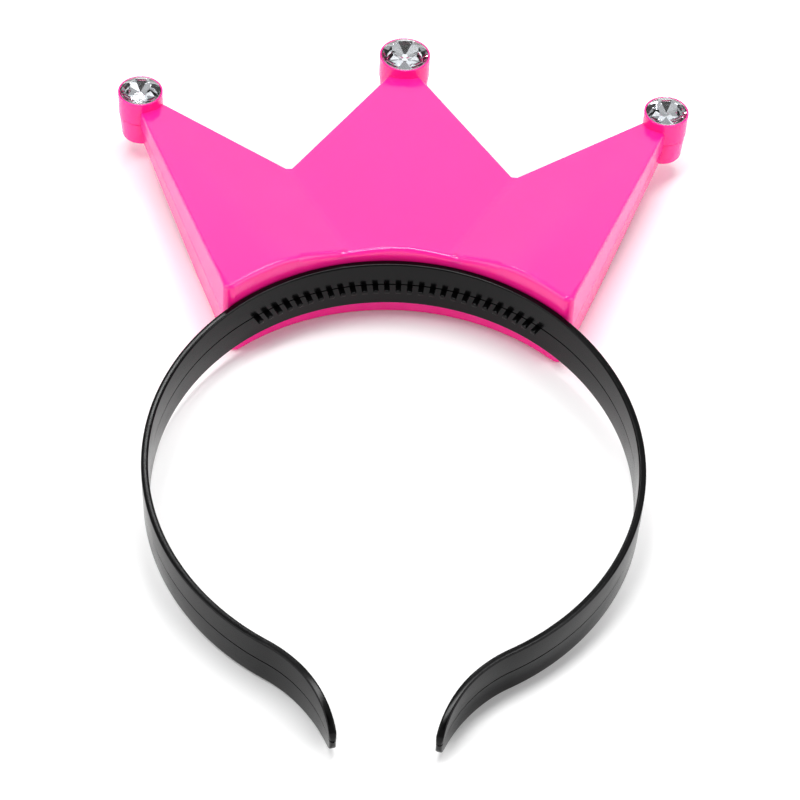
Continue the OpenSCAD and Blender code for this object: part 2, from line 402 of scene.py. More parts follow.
@dataclass(frozen=True)
class GlossyMouldedPlastic(Finish):
    """Injection-moulded plastic from a polished mould: an even colour under a clear gloss.

    The colour drifts a little where the melt flowed, the gloss is broken by a soft waviness from
    shrinkage, and a few specks of dust and moulding dirt lie on it.
    """

    drift_colour: str
    speck_colour: str
    roughness_drift: float
    ior: float
    mirror: float
    glow: float = 0.0
    glow_radius: tuple[float, float, float] = (1.0, 0.2, 0.5)
    glow_depth_mm: float = 1.5
    # Grain in millimetres, detail and roughness of each pattern
    flow: tuple[float, float, float] = (30.0, 2.0, 0.4)
    haze: tuple[float, float, float] = (12.0, 4.0, 0.6)
    waves: tuple[float, float, float] = (6.0, 1.0, 0.3)
    haze_range: tuple[float, float] = (0.3, 0.7)
    wave_height_mm: float = 0.01
    speck_pitch_mm: float = 9.0
    # Real specks are finer. They are drawn this wide so that they show
    speck_mm: float = 0.3
    speckless_share: float = 0.62

    def surface(self, tree: bpy.types.NodeTree) -> dict[str, object]:
        """Lay out the drift of colour, the specks, the haze and the waves.

        Args:
            tree: the material's node tree.

        Returns:
            The shader's inputs.
        """
        where = add_node(tree, "ShaderNodeTexCoord").outputs["Object"]
        flow, haze, waves = (
            add_node(tree, "ShaderNodeTexNoise", {"Vector": where, "Scale": 1 / (grain * MM),
                                                  "Detail": detail, "Roughness": rough}).outputs["Fac"]
            for grain, detail, rough in (self.flow, self.haze, self.waves))
        drifted = add_node(tree, "ShaderNodeMix", {"Factor": flow, 6: srgb(self.colour),
                                                   7: srgb(self.drift_colour)}, data_type="RGBA")
        # Specks: the heart of a cell of the pattern here and there
        cells = add_node(tree, "ShaderNodeTexVoronoi",
                         {"Vector": where, "Scale": 1 / (self.speck_pitch_mm * MM)})
        chosen = add_node(tree, "ShaderNodeMath", {0: cells.outputs["Color"], 1: self.speckless_share},
                          operation="GREATER_THAN")
        heart = add_node(tree, "ShaderNodeMath",
                         {0: cells.outputs["Distance"], 1: self.speck_mm / 2 / self.speck_pitch_mm},
                         operation="LESS_THAN")
        speck = add_node(tree, "ShaderNodeMath", {0: chosen.outputs[0], 1: heart.outputs[0]},
                         operation="MULTIPLY")
        colour = add_node(tree, "ShaderNodeMix", {"Factor": speck.outputs[0], 6: drifted.outputs[2],
                                                  7: srgb(self.speck_colour)}, data_type="RGBA")
        rough = add_node(tree, "ShaderNodeMapRange",
                         {"Value": haze, "From Min": self.haze_range[0], "From Max": self.haze_range[1],
                          "To Min": self.roughness - self.roughness_drift,
                          "To Max": self.roughness + self.roughness_drift})
        bump = add_node(tree, "ShaderNodeBump", {"Height": waves, "Distance": self.wave_height_mm * MM})
        return {"Base Color": colour.outputs[2], "Roughness": rough.outputs[0], "IOR": self.ior,
                "Specular IOR Level": self.mirror, "Normal": bump.outputs[0],
                "Subsurface Weight": self.glow, "Subsurface Radius": self.glow_radius,
                "Subsurface Scale": self.glow_depth_mm * MM}


@dataclass(frozen=True)
class ClearCutAcrylic(Finish):
    """Clear cast acrylic with polished facets: it bends what is seen through it."""

    colour: str = "#f6f8fa"
    roughness: float = 0.02
    ior: float = 1.5

    def surface(self, tree: bpy.types.NodeTree) -> dict[str, object]:
        """Return the shader's inputs."""
        return super().surface(tree) | {"IOR": self.ior, "Transmission Weight": 1.0}


@dataclass(frozen=True)
class SilverFoil(Finish):
    """Silver foil laid on the back of a stone: a bright mirror behind its facets."""

    colour: str = "#eceef0"
    roughness: float = 0.06

    def surface(self, tree: bpy.types.NodeTree) -> dict[str, object]:
        """Return the shader's inputs."""
        return super().surface(tree) | {"Metallic": 1.0}


@dataclass(frozen=True)
class MattePaint(Finish):
    """Plain matte paint on the studio's floor and card: it throws light back evenly."""

    roughness: float = 0.9
    mirror: float = 0.2

    def surface(self, tree: bpy.types.NodeTree) -> dict[str, object]:
        """Return the shader's inputs."""
        return super().surface(tree) | {"Specular IOR Level": self.mirror}


# Where things are


@dataclass(frozen=True)
class Pose:
    """How the headband lies on its back, and how the crown stands on the band."""

    rest_tilt_deg: float = 2.6048
    rest_lift: float = 14.4454
    rest_shift: float = 29.3418
    crown_lean_deg: float = 3.5
    seam_lift: float = 1.75

    def band_to_row(self) -> Matrix:
        """Return the transform from the band's millimetres to the row frame's metres."""
        place = Matrix.Translation((0, self.rest_shift, self.rest_lift))
        return Matrix.Scale(MM, 4) @ place @ Matrix.Rotation(math.radians(self.rest_tilt_deg), 4, "X")

    def crown_to_band(self) -> Matrix:
        """Return the transform from the crown's seam to the band."""
        lean = Matrix.Rotation(-math.radians(self.crown_lean_deg), 4, "X")
        return Matrix.Translation((0, 0, self.seam_lift)) @ lean


@dataclass(kw_only=True)
class SubAssembly:
    """A piece of the headband: its name, the CAD node that it stands for, and the record's slot."""

    name: str
    slot: str
    node: str | None = None
    pose: Pose = Pose()

    def shape(self) -> Piece:
        """Return the modelled piece in the band's frame, which each piece gives."""
        raise NotImplementedError

    def dress(self, piece: Piece, materials: tuple[bpy.types.Material, ...]) -> None:
        """Give the placed piece its materials.

        Args:
            piece: the placed piece.
            materials: the materials, the main one first.
        """
        for material in materials:
            piece.data.materials.append(material)

    def build(self, *materials: bpy.types.Material) -> None:
        """Shape the piece, put it where the CAD has it, let it ride on the body, and dress it.

        Args:
            materials: the materials, the main one first.
        """
        piece = self.shape()
        piece.name = piece.data.name = self.name
        piece.data.transform(self.pose.band_to_row())
        piece.data.update()
        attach(piece, BODY)
        if self.node:
            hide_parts(self.node)
        self.dress(piece, materials)
        LOG.info("%s: %d faces", self.name, len(piece.data.polygons))


# Crown


class Face(Enum):
    """The faces of a shell of the crown, which say how its edges are rounded."""

    SEAM = "flat edge where the two shells meet"
    SEAT = "lower wall that follows the band"
    OUTER = "outer side wall"
    NOTCH = "wall beside a valley"
    OUTER_FACET = "facet beside the outer wall"
    INNER_FACET = "facet beside a valley"
    CENTRE_FACET = "facet of the centre point"
    RIDGE = "narrow face of a soft ridge"
    END = "end of a point inside its cup"


@dataclass(frozen=True)
class CrownPlan:
    """The crown's plan: its corners, valleys and points, seen from the front with the seam at height 0."""

    arc_r: float = 65.0
    seat_r: float = 66.15
    base_w: float = 96.0
    side_spread: float = 157.0
    side_reach: float = 66.5
    centre_reach: float = 87.7
    valley_spread: float = 65.5
    valley_reach: float = 38.1
    side_neck_outer: float = 2.0
    side_neck_inner: float = 3.4
    centre_neck: float = 0.9
    ridge_spread: float = 64.4
    corner_round: float = 2.2

    def on_seat(self, x: float, z: float) -> Vector:
        """Return a point over the band's outside, at a distance from the middle."""
        return Vector((x, math.sqrt(self.seat_r ** 2 - x * x) - self.arc_r, z))

    def wall(self, start: Vector, stone: Vector, offset: float, draft_deg: float, up: int,
             turned: bool = False) -> Plane:
        """Lay a wall from a point so that it passes a stone's centre at an offset.

        Args:
            start: point of the plan that the wall starts from.
            stone: centre of the stone.
            offset: how far to the right of the way the stone's centre lies.
            draft_deg: how much the wall leans in.
            up: 1 over the seam, -1 behind it.
            turned: whether the wall looks to the left of the way.

        Returns:
            The wall.
        """
        way = stone - start
        along = math.atan2(way.y, way.x) - math.asin(offset / way.to_2d().length)
        out = Vector((math.sin(along), -math.cos(along), 0)) * (-1 if turned else 1)
        draft = math.radians(draft_deg)
        return Plane(start, (out * math.cos(draft) + Vector((0, 0, up * math.sin(draft)))).normalized())


@dataclass(kw_only=True)
class CrownShell(SubAssembly):
    """What the crown's two shells share: a body of three points, with cups or posts for the stones."""

    slot: str = "pink_plastic"
    plan: CrownPlan = CrownPlan()
    up: int = 1
    draft_deg: float = 1.0
    seam_gap: float = 0.14
    body_h: float = 40.0
    overlap: float = 2.0
    side_cup_r: float = 6.65
    centre_cup_r: float = 7.65
    cup_sides: int = 72
    rim_round: float = 0.6
    valley_round: float = 0.7
    seat_round: float = 1.6
    seat_round_wide: float = 2.6
    crease_round: float = 1.2
    seam_round: float = 0.12
    cup_seam_round: float = 0.25
    cup_seam_steps: int = 3
    round_steps: int = 6
    corner_steps: int = 10
    seat_steps: int = 96
    cutter_flare: float = 8.0
    cutter_side: float = 20.0
    middle_reach: float = 1e-4
    smooth_deg: float = 40.0
    normal_weight: int = 100

    def corners(self) -> dict[str, Vector]:
        """Lay out the plan's named points at the seam.

        Returns:
            The points of the right-hand side and the middle, by name.
        """
        plan = self.plan
        return {
            "side": Vector((plan.side_spread / 2, plan.side_reach, 0)),
            "centre": Vector((0, plan.centre_reach, 0)),
            "valley": Vector((plan.valley_spread / 2, plan.valley_reach, 0)),
            "corner": plan.on_seat(plan.base_w / 2, 0),
        }

    def faces(self) -> dict[Face, list[Plane]]:
        """Return the planes of the front or back, which each shell gives."""
        raise NotImplementedError

    def ridges(self) -> tuple[list[Plane], list[Plane]]:
        """Return the narrow faces of the side ridge and of the centre ridge."""
        return [], []

    def holder(self, radius: float) -> Piece:
        """Return the cup or post of one stone on the crown's axis, which each shell gives."""
        raise NotImplementedError

    def walls(self) -> dict[Face, Plane]:
        """Lay the upright walls of the right-hand side.

        Returns:
            The walls by kind.
        """
        plan, at, lean = self.plan, self.corners(), (self.draft_deg, self.up)
        end = (at["side"] - (at["corner"] + at["valley"]) / 2).normalized()
        return {
            Face.OUTER: plan.wall(at["corner"], at["side"], plan.side_neck_outer, *lean),
            Face.NOTCH: plan.wall(at["valley"], at["side"], -plan.side_neck_inner, *lean, turned=True),
            Face.END: Plane(at["side"], end),
        }

    def centre_wall(self) -> Plane:
        """Return the right-hand wall of the centre point."""
        at = self.corners()
        return self.plan.wall(at["valley"], at["centre"], self.plan.centre_neck, self.draft_deg, self.up)

    def seam(self) -> Plane:
        """Return the flat face at the seam."""
        return Plane(self.up * self.seam_gap / 2 * UP, -self.up * UP)

    def seat_cutter(self) -> Piece:
        """Carve the space of the band, with the rounding of the crown's two lower corners.

        Returns:
            The block, in the band's frame.
        """
        wall = self.walls()[Face.OUTER].moved(self.pose.crown_to_band())
        heights = (-self.body_h, self.body_h)
        rings = [self.seat_outline(wall, height) for height in heights]
        count = len(rings[0])
        deselect()
        bpy.ops.mesh.primitive_cylinder_add(vertices=count)
        block = bpy.context.object
        for index, vertex in enumerate(block.data.vertices):
            # A new cylinder's points go round it in pairs, bottom first
            place, ring = divmod(index, 2)
            vertex.co = (*rings[ring][(count - place) % count], heights[ring])
        heal(block)
        return block

    def seat_outline(self, wall: Plane, height: float) -> list[Vector]:
        """Lay out the cutter at one height of the band.

        Args:
            wall: the outer wall on the right, in the band's frame.
            height: the height over the band's middle.

        Returns:
            Points that go round the outline.
        """
        plan = self.plan
        flat = wall.normal.to_2d()
        scale = flat.length
        flat = flat / scale
        reach = (wall.point.dot(wall.normal) - wall.normal.z * height) / scale
        # The rounding's centre lies a radius inside the wall and a radius over the seat
        arc_centre = Vector((0, -plan.arc_r))
        from_arc = reach - plan.corner_round - flat.dot(arc_centre)
        along = math.sqrt((plan.seat_r + plan.corner_round) ** 2 - from_arc ** 2)
        centre = arc_centre + flat * from_arc + Vector((-flat.y, flat.x)) * along
        start = math.atan2(flat.y, flat.x)
        to_arc = arc_centre - centre
        turn = (math.atan2(to_arc.y, to_arc.x) - start) % math.tau
        turn = turn - math.tau if turn > math.pi else turn
        bend = [centre + plan.corner_round * Vector((math.cos(angle), math.sin(angle))) for angle in
                (start + turn * i / self.corner_steps for i in range(self.corner_steps + 1))]
        seat_angle = math.atan2(bend[-1].x, bend[-1].y + plan.arc_r)
        seat = [arc_centre + plan.seat_r * Vector((math.sin(angle), math.cos(angle))) for angle in
                (seat_angle * (1 - 2 * i / self.seat_steps) for i in range(1, self.seat_steps))]
        outside = bend[0] + flat * self.cutter_flare
        far = outside.x + self.cutter_side
        right = [Vector((far, -2 * plan.arc_r)), Vector((far, outside.y)), outside] + bend
        return right + seat + [Vector((-point.x, point.y)) for point in reversed(right)]

    def hidden_ends(self, number: int) -> list[Plane]:
        """Lay the ends of a part of the body that lie inside another part or are cut off.

        Args:
            number: the part's number, which keeps the ends of two parts from lying in one plane.

        Returns:
            The end past the seam, the end past the band, and the end past the middle.
        """
        past = number * self.overlap
        return [Plane(-self.up * past * UP, -self.up * UP),
                Plane(Vector((0, past - self.plan.arc_r, 0)), Vector((0, -1, 0))),
                Plane(Vector((-past, 0, 0)), Vector((-1, 0, 0)))]

    def body(self) -> Piece:
        """Carve the body's right half, cut it to the band, round its edges and mirror it.

        Returns:
            The body, in the band's frame.
        """
        at, walls, faces, middle_wall = self.corners(), self.walls(), self.faces(), self.centre_wall()
        side_ridge, centre_ridge = self.ridges()
        side = carved_block([walls[Face.OUTER], walls[Face.NOTCH], walls[Face.END]] + faces[Face.OUTER_FACET]
                            + faces[Face.INNER_FACET] + side_ridge + self.hidden_ends(1))
        top = Plane(at["centre"], Vector((0, 1, 0)))
        flank = Plane(at["corner"] - Vector((2 * self.overlap, 0, 0)), walls[Face.OUTER].normal)
        body = carved_block([middle_wall, middle_wall.mirrored(), top, flank, flank.mirrored()]
                            + faces[Face.CENTRE_FACET] + centre_ridge + self.hidden_ends(2)[:2])
        combine(body, side, Use.JOIN)
        combine(body, carved_block([Plane(self.seam().point, self.up * UP)]), Use.CUT)
        body.data.transform(self.pose.crown_to_band())
        combine(body, self.seat_cutter(), Use.CUT)
        heal(body, TOUCH, dissolve=True)
        self.round_edges(body)
        heal(body, ROUND_TOUCH, dissolve=True)
        cut_off(body, [Plane(Vector((0, 0, 0)), Vector((-1, 0, 0)))], close=False, reach=self.middle_reach)
        apply(body, "MIRROR", merge_threshold=TOUCH)
        return body

    def kinds(self) -> list[tuple[Face, Plane]]:
        """Name the flat faces of the body.

        Returns:
            Each face with its kind, in the band's frame.
        """
        named: list[tuple[Face, Plane]] = [(Face.SEAM, self.seam()), (Face.NOTCH, self.centre_wall())]
        named += list(self.walls().items())
        named += [(kind, plane) for kind, planes in self.faces().items() for plane in planes]
        named += [(Face.RIDGE, plane) for planes in self.ridges() for plane in planes]
        named += [(kind, plane.mirrored()) for kind, plane in named]
        named.append((Face.END, Plane(self.corners()["centre"], Vector((0, 1, 0)))))
        return [(kind, plane.moved(self.pose.crown_to_band())) for kind, plane in named]

    def widths(self) -> dict[frozenset[Face], float]:
        """Say how wide the rounding is between each two kinds of face.

        Returns:
            The width for each pair of kinds that is rounded.
        """
        facets = (Face.OUTER_FACET, Face.INNER_FACET, Face.CENTRE_FACET)
        pairs = [((facet, wall), self.rim_round) for facet in facets for wall in (Face.OUTER, Face.NOTCH)]
        pairs += [((kind, Face.SEAT), self.seat_round) for kind in (*facets, Face.RIDGE)]
        pairs += [((Face.SEAM, wall), self.seam_round) for wall in (Face.OUTER, Face.NOTCH, Face.SEAT)]
        pairs += [((Face.INNER_FACET, Face.SEAT), self.seat_round_wide),
                  ((Face.INNER_FACET, Face.CENTRE_FACET), self.crease_round),
                  ((Face.NOTCH,), self.valley_round)]
        return {frozenset(pair): width for pair, width in pairs}

    def round_edges(self, piece: Piece) -> None:
        """Round each edge by what its two faces are.

        Args:
            piece: the carved body, in the band's frame.
        """
        mesh, kinds, widths = piece.data, self.kinds(), self.widths()
        widest = max(widths.values())
        by_edge: dict[tuple[int, int], list[Face]] = {}
        for polygon in mesh.polygons:
            # The seat is the only bent face, so it is what no plane holds
            here = next((kind for kind, plane in kinds if plane.holds(polygon)), Face.SEAT)
            for key in polygon.edge_keys:
                by_edge.setdefault(key, []).append(here)
        weights = mesh.attributes.new("bevel_weight_edge", "FLOAT", "EDGE")
        for edge in mesh.edges:
            pair = frozenset(by_edge[tuple(sorted(edge.vertices))])
            weights.data[edge.index].value = widths.get(pair, 0.0) / widest
        apply(piece, "BEVEL", limit_method="WEIGHT", width=widest, segments=self.round_steps,
              use_clamp_overlap=False)

    def shape(self) -> Piece:
        """Model the shell with its three cups or posts.

        Returns:
            The shell, in the band's frame.
        """
        at, holders = self.corners(), []
        for place, radius in ((at["side"], self.side_cup_r), (at["centre"], self.centre_cup_r)):
            holder = self.holder(radius)
            round_ring(holder, self.seam().point.z, self.cup_seam_round, self.cup_seam_steps)
            holder.data.transform(Matrix.Translation(place))
            holders.append(holder)
        holders.insert(1, copy_of(holders[0], Matrix.Diagonal((-1, 1, 1, 1))))
        for holder in holders:
            holder.data.transform(self.pose.crown_to_band())
        shell = join([self.body(), *holders])
        apply(shell, "TRIANGULATE", quad_method="BEAUTY")
        smooth_by_angle(shell, self.smooth_deg)
        apply(shell, "WEIGHTED_NORMAL", keep_sharp=True, weight=self.normal_weight)
        return shell


@dataclass(kw_only=True)
class FrontShell(CrownShell):
    """The front shell: five soft facets, and a cup with a thin rim round each stone."""

    name: str = "crown_front_shell"
    node: str = "crown_front"
    tip_rise: float = 4.5
    valley_rise: float = 4.8
    corner_rise: float = 12.4
    ridge_rise: float = 12.8
    centre_rise: float = 11.0
    cup_rise: float = 8.0
    stone_seat: float = 3.1
    rim_w: float = 0.55
    cup_round: float = 0.18
    cup_round_steps: int = 4
    ridge_width: float = 10.0
    ridge_steps: int = 5

    def feet(self) -> tuple[Vector, Vector]:
        """Return the feet of the side ridge and of the centre ridge, over the band."""
        return (self.plan.on_seat(self.plan.ridge_spread / 2, self.ridge_rise),
                self.plan.on_seat(0, self.centre_rise))

    def ridges(self) -> tuple[list[Plane], list[Plane]]:
        """Lay the narrow faces that soften the ridges of the front.

        Returns:
            Those of the side ridge and those of the centre ridge.
        """
        faces, tips = self.faces(), [self.corners()[name] + UP * self.tip_rise for name in ("side", "centre")]
        pairs = [(faces[Face.OUTER_FACET][0], faces[Face.INNER_FACET][0]), faces[Face.CENTRE_FACET]]
        side, middle = (soft_ridge(tip, *pair, foot, self.ridge_width, self.ridge_steps)
                        for tip, pair, foot in zip(tips, pairs, self.feet()))
        return side, middle

    def faces(self) -> dict[Face, list[Plane]]:
        """Lay the facets.

        Returns:
            The facets by kind, the right-hand ones first.
        """
        at, (ridge, foot) = self.corners(), self.feet()
        side = at["side"] + UP * self.tip_rise
        valley = meeting_point(self.walls()[Face.NOTCH], self.centre_wall(), Plane(UP * self.valley_rise, UP))
        centre = plane_by(at["centre"] + UP * self.tip_rise, foot, valley)
        return {
            Face.OUTER_FACET: [plane_by(side, at["corner"] + UP * self.corner_rise, ridge)],
            Face.INNER_FACET: [plane_by(side, ridge, valley)],
            Face.CENTRE_FACET: [centre, centre.mirrored()],
        }

    def holder(self, radius: float) -> Piece:
        """Turn a cup with a recess for its stone.

        Args:
            radius: the cup's outer radius.

        Returns:
            The cup, on the crown's axis.
        """
        cup = cylinder(radius, self.seam_gap / 2, self.cup_rise, self.cup_sides)
        floor, past = self.cup_rise - self.stone_seat, self.cup_rise + 1
        combine(cup, cylinder(radius - self.rim_w, floor, past, self.cup_sides), Use.CUT)
        round_ring(cup, self.cup_rise, self.cup_round, self.cup_round_steps)
        return cup


@dataclass(kw_only=True)
class BackShell(CrownShell):
    """The back shell: a flat foot, a sloping back, and a closed post behind each stone."""

    name: str = "crown_back_shell"
    node: str = "crown_back"
    up: int = -1
    draft_deg: float = 6.5
    foot_depth: float = 16.5
    foot_reach: float = 12.0
    tip_depth: float = 8.3
    post_depth: float = 8.3
    post_step: float = 0.14
    post_draft_deg: float = 4.0
    post_edge_r: float = 0.8
    post_edge_steps: int = 6
    rim_round: float = 0.8
    seat_round: float = 1.4
    seat_round_wide: float = 1.4

    def faces(self) -> dict[Face, list[Plane]]:
        """Lay the back face and the foot, which lies flat on the surface.

        Returns:
            The faces by kind.
        """
        slope = math.radians(self.pose.crown_lean_deg - self.pose.rest_tilt_deg)
        corner = self.corners()["corner"]
        foot = Plane(corner - UP * self.foot_depth, Vector((0, math.sin(slope), -math.cos(slope))))
        depth = self.foot_depth - (self.foot_reach - corner.y) * math.tan(slope)
        back = plane_by(Vector((0, self.foot_reach, -depth)), Vector((1, self.foot_reach, -depth)),
                        Vector((0, self.plan.side_reach, -self.tip_depth)), behind=True)
        return {Face.OUTER_FACET: [foot], Face.INNER_FACET: [back], Face.CENTRE_FACET: [foot, back]}

    def holder(self, radius: float) -> Piece:
        """Turn a closed post with a leaning side.

        Args:
            radius: the radius of the cup in front of it.

        Returns:
            The post, on the crown's axis.
        """
        top_r = radius - self.post_step
        end_r = top_r - self.post_depth * math.tan(math.radians(self.post_draft_deg))
        post = cylinder(end_r, -self.post_depth, -self.seam_gap / 2, self.cup_sides, top_radius=top_r)
        round_ring(post, -self.post_depth, self.post_edge_r, self.post_edge_steps)
        return post


# Band


@dataclass(kw_only=True)
class Headband(SubAssembly):
    """The open band: one strip swept along tangent arcs, with a parting line and tapered ends."""

    name: str = "headband_strip"
    node: str = "headband"
    slot: str = "black_plastic"
    crown_arc_r: float = 65.0
    side_arc_r: float = 70.8
    side_arc_end_deg: float = 149.8
    flare_arc_r: float = 38.9
    flare_deg: float = 45.3
    seat_arc_end_deg: float = 48.52
    crown_steps: int = 64
    side_steps: int = 110
    flare_steps: int = 40
    tip_steps: int = 8
    band_w: float = 16.4
    band_t: float = 2.0
    edge_r: float = 0.5
    edge_steps: int = 5
    parting_w: float = 0.54
    parting_depth: float = 0.5
    lower_step: float = 0.08
    taper_l: float = 20.0
    taper_front: float = 6.8
    taper_back: float = 5.2
    nose_l: float = 2.4
    nose_drop: float = 1.3
    tip_flat: float = 0.03
    # The strip stays this far inside the CAD band
    skin: float = 0.02
    spin_reach: float = 1e-4
    smooth_deg: float = 25.0

    def profile(self) -> list[tuple[float, float]]:
        """Lay out the strip's cross-section.

        Returns:
            Points that go round it, each as a distance out from the middle of the wall and a height.
        """
        half_t, half_w = self.band_t / 2 - self.skin, self.band_w / 2 - self.skin
        bends = [math.radians(90 * i / self.edge_steps) for i in range(self.edge_steps + 1)]
        upper = [(half_t - self.edge_r + self.edge_r * math.sin(a),
                  half_w - self.edge_r + self.edge_r * math.cos(a)) for a in bends]
        low_t = half_t - self.lower_step
        groove = [(half_t, self.parting_w / 2), (half_t - self.parting_depth, self.parting_w / 3),
                  (half_t - self.parting_depth, -self.parting_w / 3), (low_t, -self.parting_w / 2)]
        lower = [(low_t - self.edge_r + self.edge_r * math.sin(a),
                  -half_w + self.edge_r - self.edge_r * math.cos(a)) for a in reversed(bends)]
        right = upper + groove + lower
        return right + [(-out, up) for out, up in reversed(right)]

    def shape(self) -> Piece:
        """Sweep the cross-section from the middle of the band to the end of one arm, and mirror it.

        Returns:
            The strip, in the band's frame.
        """
        points = self.profile()
        deselect()
        bpy.ops.mesh.primitive_circle_add(vertices=len(points))
        strip = bpy.context.object
        for vertex, (out, up) in zip(strip.data.vertices, points):
            vertex.co = (0, out, up)
        seat_end, side_end, flare = map(math.radians, (self.seat_arc_end_deg, self.side_arc_end_deg,
                                                       self.flare_deg))
        tip = self.band_t / 2 / self.flare_arc_r
        crown_centre = Vector((0, -self.crown_arc_r, 0))
        side_centre = crown_centre + (self.crown_arc_r - self.side_arc_r) * Vector(
            (math.sin(seat_end), math.cos(seat_end), 0))
        flare_centre = side_centre + (self.side_arc_r + self.flare_arc_r) * Vector(
            (math.sin(side_end), math.cos(side_end), 0))
        take(strip)
        bpy.ops.object.mode_set(mode="EDIT")
        bpy.ops.mesh.select_all(action="SELECT")
        # A spin turns clockwise for a positive angle
        for centre, angle, steps in ((crown_centre, seat_end, self.crown_steps),
                                     (side_centre, side_end - seat_end, self.side_steps),
                                     (flare_centre, tip - flare, self.flare_steps),
                                     (flare_centre, -tip, self.tip_steps)):
            bpy.ops.mesh.spin(steps=steps, angle=angle, center=centre, axis=(0, 0, 1))
        bpy.ops.mesh.edge_face_add()
        bpy.ops.object.mode_set(mode="OBJECT")
        self.shape_end(strip, flare_centre, len(points))
        heal(strip, self.spin_reach)
        apply(strip, "MIRROR", merge_threshold=TOUCH)
        smooth_by_angle(strip, self.smooth_deg)
        return strip

    def shape_end(self, strip: Piece, centre: Vector, count: int) -> None:
        """Taper the arm's edges towards its end and round the end.

        Args:
            strip: the swept strip.
            centre: the flare's centre.
            count: the number of points in each ring.
        """
        flare_start = math.radians(270 - self.side_arc_end_deg)
        half_w, half_t = self.band_w / 2, self.band_t / 2
        vertices = strip.data.vertices
        for vertex in vertices[len(vertices) - (self.flare_steps + self.tip_steps) * count:]:
            spoke = (vertex.co - centre).to_2d()
            angle = (math.atan2(spoke.y, spoke.x) - flare_start) % math.tau
            to_end = (math.radians(self.flare_deg) - angle) * self.flare_arc_r
            drop, nose = (1 - math.sqrt(1 - min(max(1 - to_end / length, 0), 1) ** 2)
                          for length in (self.taper_l, self.nose_l))
            if vertex.co.z > half_w - 2 * self.edge_r:
                vertex.co.z -= drop * self.taper_front + nose * self.nose_drop
            elif vertex.co.z < -half_w + 2 * self.edge_r:
                vertex.co.z += drop * self.taper_back + nose * self.nose_drop
            if to_end < half_t:
                thin = math.sqrt(max(1 - (1 - (to_end + self.tip_flat) / half_t) ** 2, 0.0))
                out = spoke.length - self.flare_arc_r
                vertex.co.xy = centre.xy + spoke.normalized() * (self.flare_arc_r + out * thin)


@dataclass(kw_only=True)
class GrippingTeeth(SubAssembly):
    """The row of short pegs inside the band that hold the hair."""

    name: str = "gripping_teeth"
    slot: str = "black_plastic"
    count: int = 27
    span_deg: float = 76.0
    width: float = 1.5
    reach: float = 2.2
    height: float = 1.2
    drop: float = 0.3
    inner_r: float = 64.0
    arc_r: float = 65.0
    edge_r: float = 0.2
    edge_steps: int = 3
    root: float = 0.6
    smooth_deg: float = 35.0

    def shape(self) -> Piece:
        """Model one peg and copy it along the band.

        Returns:
            The row, in the band's frame.
        """
        deselect()
        bpy.ops.mesh.primitive_cube_add(size=1)
        peg = bpy.context.object
        peg.data.transform(Matrix.Diagonal((self.width, self.reach + self.root, self.height, 1)))
        peg.data.transform(Matrix.Translation(
            (0, self.inner_r - self.arc_r + (self.root - self.reach) / 2, -self.drop - self.height / 2)))
        apply(peg, "BEVEL", width=self.edge_r, segments=self.edge_steps)
        pitch = self.span_deg / (self.count - 1)
        centre = Matrix.Translation((0, -self.arc_r, 0))
        turns = [math.radians(i * pitch - self.span_deg / 2) for i in range(self.count)]
        row = join([copy_of(peg, centre @ Matrix.Rotation(turn, 4, "Z") @ centre.inverted())
                    for turn in turns])
        bpy.data.objects.remove(peg)
        smooth_by_angle(row, self.smooth_deg)
        return row


# Stones


@dataclass(kw_only=True)
class CutStone(SubAssembly):
    """A round stone with a table, star, main and girdle facets in front, and a foiled pointed back."""

    centre: Vector
    diameter: float
    slot: str = "clear_stone"
    rise: float = 8.0
    crown_h: float = 1.9
    back_h: float = 3.0
    girdle_h: float = 0.5
    main_deg: float = 30.0
    star_deg: float = 18.0
    girdle_facet_deg: float = 37.0
    back_deg: float = 24.6
    facets: int = 8
    # Where the girdle facets pass, to the radius, and the stars, to the table's radius
    girdle_share: float = 0.985
    star_share: float = 1.02
    foil_turn: float = -0.2

    def ring(self, shares: tuple[float, ...], slope_deg: float, radius: float, height: float,
             behind: bool = False) -> list[Plane]:
        """Lay a ring of facets.

        Args:
            shares: where the facets stand in each part of the ring, from 0 to 1.
            slope_deg: how steep they are.
            radius: where they pass, from the axis.
            height: where they pass, over the girdle's middle.
            behind: whether they are on the back.

        Returns:
            The facets.
        """
        steep = math.radians(slope_deg)
        rise = math.cos(steep) * (-1 if behind else 1)
        turns = [math.radians((i + share) * 360 / self.facets)
                 for share in shares for i in range(self.facets)]
        return [Plane(Vector((radius * math.cos(a), radius * math.sin(a), height)),
                      Vector((math.sin(steep) * math.cos(a), math.sin(steep) * math.sin(a), rise)))
                for a in turns]

    def shape(self) -> Piece:
        """Carve the stone.

        Returns:
            The stone, in the band's frame.
        """
        radius, half_girdle = self.diameter / 2, self.girdle_h / 2
        main_edge = radius * math.cos(math.radians(90 / self.facets))
        table_r = main_edge - (self.crown_h - half_girdle) / math.tan(math.radians(self.main_deg))
        stone = cut_off(
            cylinder(radius, -self.back_h, self.crown_h, 4 * self.facets),
            self.ring((0,), self.main_deg, main_edge, half_girdle)
            + self.ring((0.25, 0.75), self.girdle_facet_deg, radius * self.girdle_share, half_girdle)
            + self.ring((0.5,), self.star_deg, table_r * self.star_share, self.crown_h)
            + self.ring((0,), self.back_deg, main_edge, -half_girdle, behind=True))
        stone.data.transform(Matrix.Translation(self.centre + UP * self.rise))
        stone.data.transform(self.pose.crown_to_band())
        return stone

    def dress(self, piece: Piece, materials: tuple[bpy.types.Material, ...]) -> None:
        """Dress the stone, and lay the second material on the facets behind its girdle.

        Args:
            piece: the placed stone.
            materials: the stone's material and the foil's.
        """
        super().dress(piece, materials)
        for polygon in piece.data.polygons:
            polygon.material_index = int(polygon.normal.z < self.foil_turn)


# Studio


